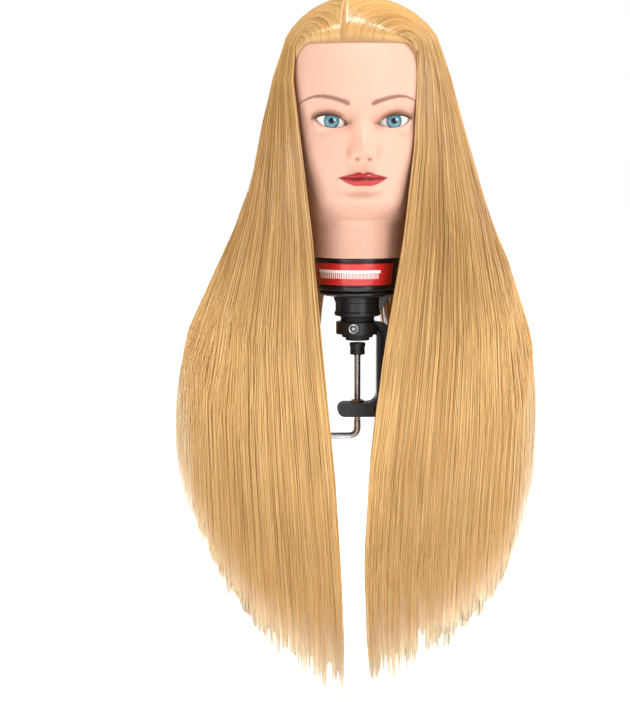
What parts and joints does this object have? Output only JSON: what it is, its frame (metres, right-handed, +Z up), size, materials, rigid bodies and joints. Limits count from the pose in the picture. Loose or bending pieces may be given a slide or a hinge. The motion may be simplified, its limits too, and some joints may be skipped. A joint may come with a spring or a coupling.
{
  "type": "mannequin training head",
  "caption": "Soft-skinned practice head with long straight hair on a socketed neck base, standing on the fluted plug of a swivelling table clamp.",
  "frame": {"origin": "on the clamp screw's axis, at the flat underside of the jaw pad that rests on the table", "axes": "+Z up along the screw, post and neck, the face towards -Y, +X towards the viewer's right"},
  "size_m": [0.3603, 0.2103, 0.69],
  "materials": {
    "skin": "satin",
    "foam": "matte",
    "black_plastic": "gloss",
    "red_label": "satin",
    "eye": "gloss",
    "lash": "matte",
    "hair": "satin",
    "cast_black": "satin",
    "rubber": "matte",
    "steel": "satin"
  },
  "bodies": {
    "frame": {"c_frame": "cast_black", "jaw_pad": "rubber", "swivel_lock_screw": "steel", "screw_nut": "steel", "swivel_bolt": "steel", "spring_washer": "steel", "swivel_nut": "steel"},
    "pad": {"pad_cup": "cast_black", "pad_retainer": "steel"},
    "screw": {"clamp_screw": "steel"},
    "swivel": {"swivel_washer": "rubber", "hub_cup": "cast_black", "tray": "cast_black", "post": "cast_black", "plug_sleeve": "cast_black"},
    "head": {"neck_base_cap": "black_plastic", "socket_tube": "black_plastic", "base_label": "red_label", "head_shell": "skin", "foam_core": "foam", "eye_left": "eye", "eye_right": "eye", "lash_left": "lash", "lash_right": "lash", "hair_crown": "hair", "hair_side_left": "hair", "hair_side_right": "hair", "hair_wing_left": "hair", "hair_wing_right": "hair"}
  },
  "joints": [
    {"name": "pad_travel", "type": "slide", "parent": "frame", "child": "pad", "axis": [0, 0, -1], "range_m": [0, 0.045]},
    {"name": "screw_turn", "type": "hinge", "parent": "pad", "child": "screw", "pos_m": [0, 0, -0.05], "axis": [0, 0, -1], "range_deg": [0, 8100]},
    {"name": "head_swivel", "type": "hinge", "parent": "frame", "child": "swivel", "pos_m": [0, 0, 0.02], "axis": [0, 0, 1], "continuous": true},
    {"name": "head_lift", "type": "slide", "parent": "swivel", "child": "head", "axis": [0, 0, 1], "range_m": [0, 0.085]}
  ],
  "couplings": [
    {"joint": "pad_travel", "follows": "screw_turn", "m_per_rad": 0.00031831}
  ]
}
